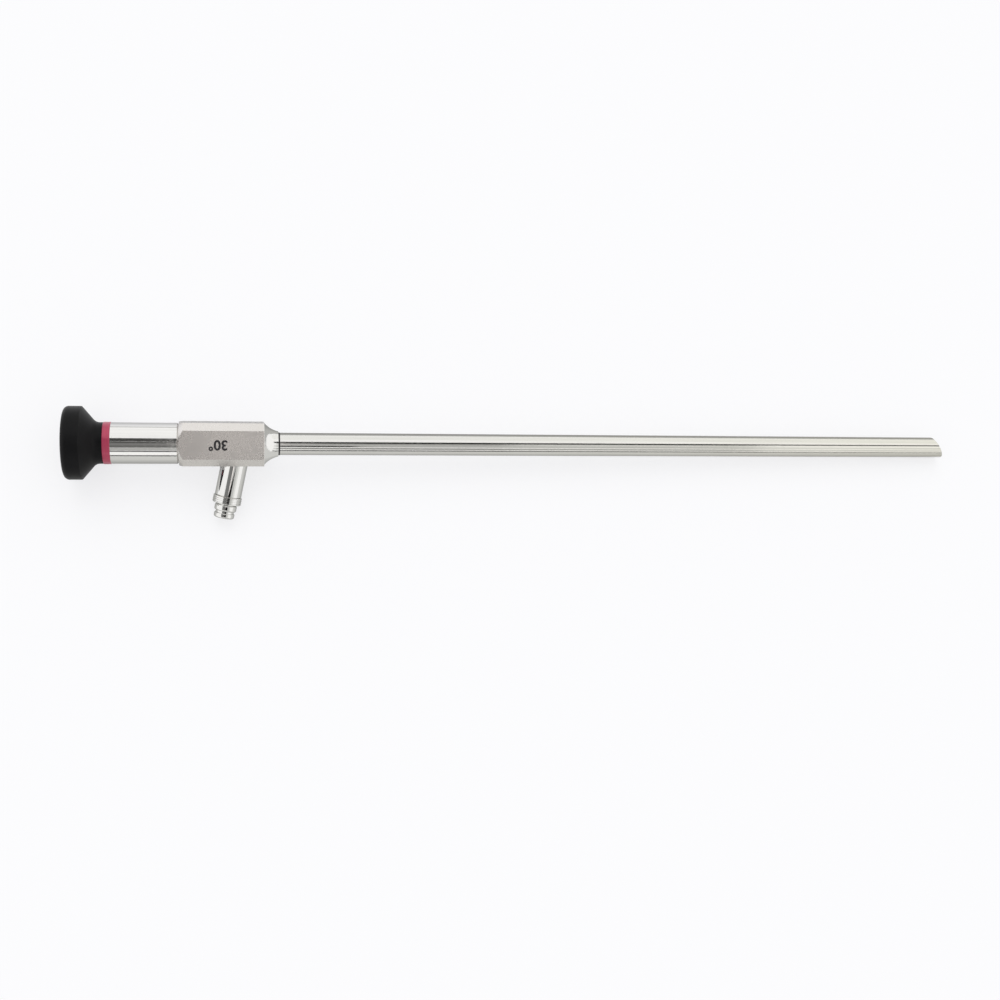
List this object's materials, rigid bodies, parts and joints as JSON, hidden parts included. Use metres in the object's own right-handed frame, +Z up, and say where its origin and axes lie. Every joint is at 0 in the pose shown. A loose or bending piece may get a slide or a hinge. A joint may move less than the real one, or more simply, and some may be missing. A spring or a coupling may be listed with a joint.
{
  "type": "rigid endoscope",
  "caption": "Rigid endoscope with a long bevelled tube, faceted body, polished eyepiece with eye cup and a leaning light post.",
  "frame": {"origin": "middle of the floor that the scope covers as it lies at rest", "axes": "+X runs towards the tip, +Z up, and the light post leans down on the -Y side"},
  "size_m": [0.4206, 0.0486, 0.0319],
  "materials": {
    "black_plastic": "fine matte moulding",
    "red_ring": "satin, turned",
    "polished_steel": "mirror-polished steel",
    "satin_steel": "satin",
    "tube_steel": "drawn, half bright",
    "brass": "turned",
    "black_metal": "black anodised",
    "glass": "polished, coated",
    "fibre": "ground fibre ends in resin",
    "seal_rubber": "matte"
  },
  "bodies": {
    "root": {"adapter_seal": "seal_rubber", "barrel_lock_ring": "black_metal", "body_seal_ring": "seal_rubber", "cable_adapter": "polished_steel", "colour_ring": "red_ring", "deflecting_prism": "glass", "distal_window": "glass", "eye_cup": "black_plastic", "eye_cup_seal": "seal_rubber", "eye_lens": "glass", "eyepiece_spacer": "black_metal", "fibre_bundle": "fibre", "fibre_ferrule": "satin_steel", "field_lens": "glass", "field_stop": "black_metal", "lens_retaining_ring": "black_metal", "light_post_stem": "polished_steel", "main_body": "satin_steel", "objective_cell": "satin_steel", "objective_crown": "glass", "objective_flint": "glass", "objective_front_lens": "glass", "objective_spacer": "black_metal", "ocular_barrel": "black_metal", "ocular_housing": "polished_steel", "ocular_window": "glass", "optical_tube": "satin_steel", "post_sleeve": "polished_steel", "relay_spacer_1": "black_metal", "relay_spacer_2": "black_metal", "relay_spacer_3": "black_metal", "relay_spacer_4": "black_metal", "relay_spacer_5": "black_metal", "relay_spacer_6": "black_metal", "relay_spacer_7": "black_metal", "rod_lens_1": "glass", "rod_lens_2": "glass", "rod_lens_3": "glass", "rod_lens_4": "glass", "rod_lens_5": "glass", "rod_lens_6": "glass", "sheath_tube": "tube_steel", "sleeve_seal": "seal_rubber", "tube_bush": "brass", "tube_lock_nut": "brass", "window_ring": "polished_steel"}
  },
  "joints": []
}
